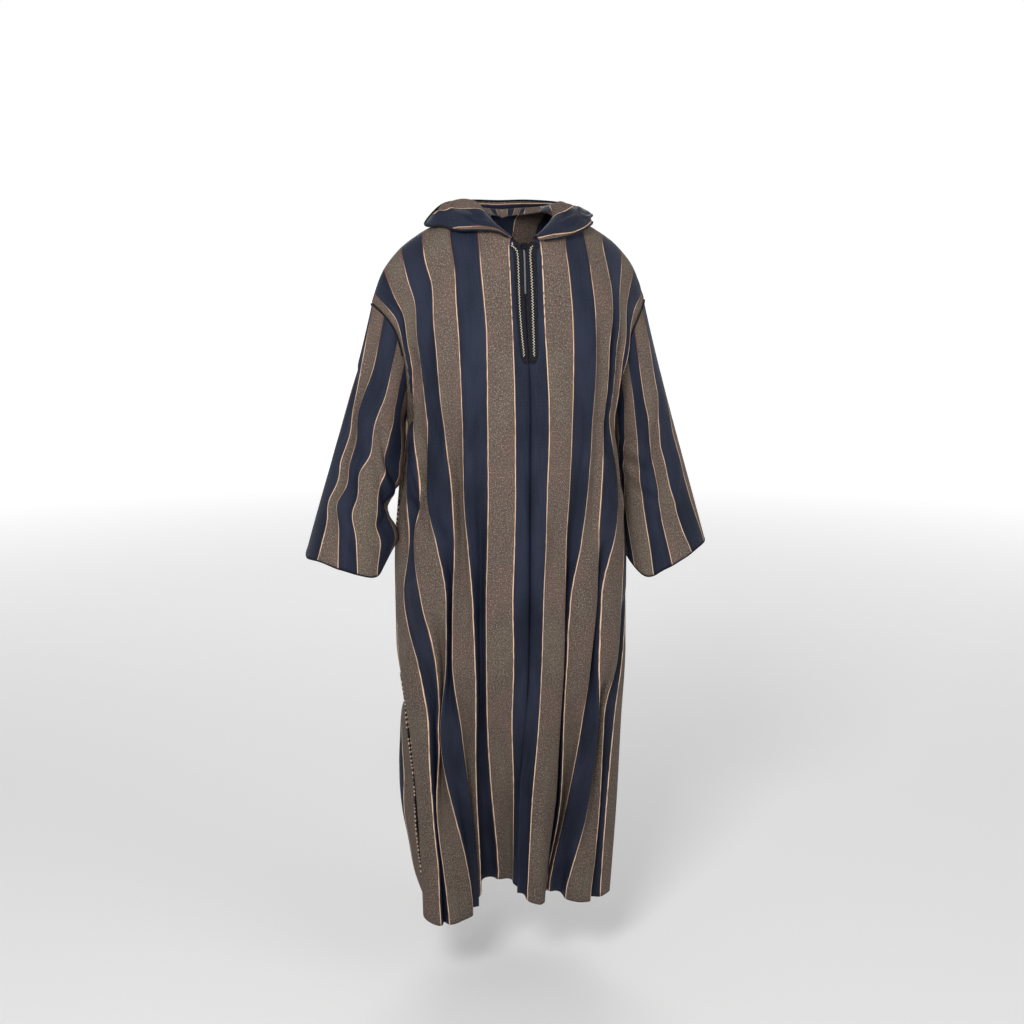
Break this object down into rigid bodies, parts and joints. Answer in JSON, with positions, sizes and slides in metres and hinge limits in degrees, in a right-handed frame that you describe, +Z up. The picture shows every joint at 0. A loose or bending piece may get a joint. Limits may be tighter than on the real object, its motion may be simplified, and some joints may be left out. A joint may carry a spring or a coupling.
{
  "type": "djellaba robe",
  "caption": "Long loose hooded robe in its worn form, vertically striped, hollow, with a braided neck slit, wide sleeves, side vents and the hood lying on the back.",
  "frame": {"origin": "between the wearer's shoulders, 1.470 m above the ground the wearer stands on, where the garment hangs", "axes": "+Z up, the wearer faces -Y, the wearer's left is +X"},
  "size_m": [0.7958, 0.3313, 1.3696],
  "materials": {
    "striped_cloth": "matt woven cloth, navy and heathered taupe stripes with a thin line at each change",
    "black_trim": "matt black cord piping",
    "vent_trim": "black cord piping with small cream stitches",
    "braid": "flat black braid with two silver cream zigzag lines",
    "zip": "thin grey zip teeth"
  },
  "bodies": {
    "root": {"front_right_chest": "striped_cloth", "front_right_waist": "striped_cloth", "front_right_thigh": "striped_cloth", "front_right_hem": "striped_cloth", "front_left_chest": "striped_cloth", "front_left_waist": "striped_cloth", "front_left_thigh": "striped_cloth", "front_left_hem": "striped_cloth", "back_chest": "striped_cloth", "back_waist": "striped_cloth", "back_thigh": "striped_cloth", "back_hem": "striped_cloth", "sleeve_right": "striped_cloth", "sleeve_left": "striped_cloth", "hood": "striped_cloth", "hood_piping": "black_trim", "braid_right": "braid", "braid_left": "braid", "zip": "zip", "neck_knot": "black_trim", "armhole_piping_right": "black_trim", "armhole_piping_left": "black_trim", "cuff_piping_right": "black_trim", "cuff_piping_left": "black_trim", "vent_piping_front_right": "vent_trim", "vent_piping_front_left": "vent_trim", "vent_piping_back_right": "vent_trim", "vent_piping_back_left": "vent_trim", "pocket_piping_right": "black_trim", "pocket_piping_left": "black_trim"}
  },
  "joints": []
}
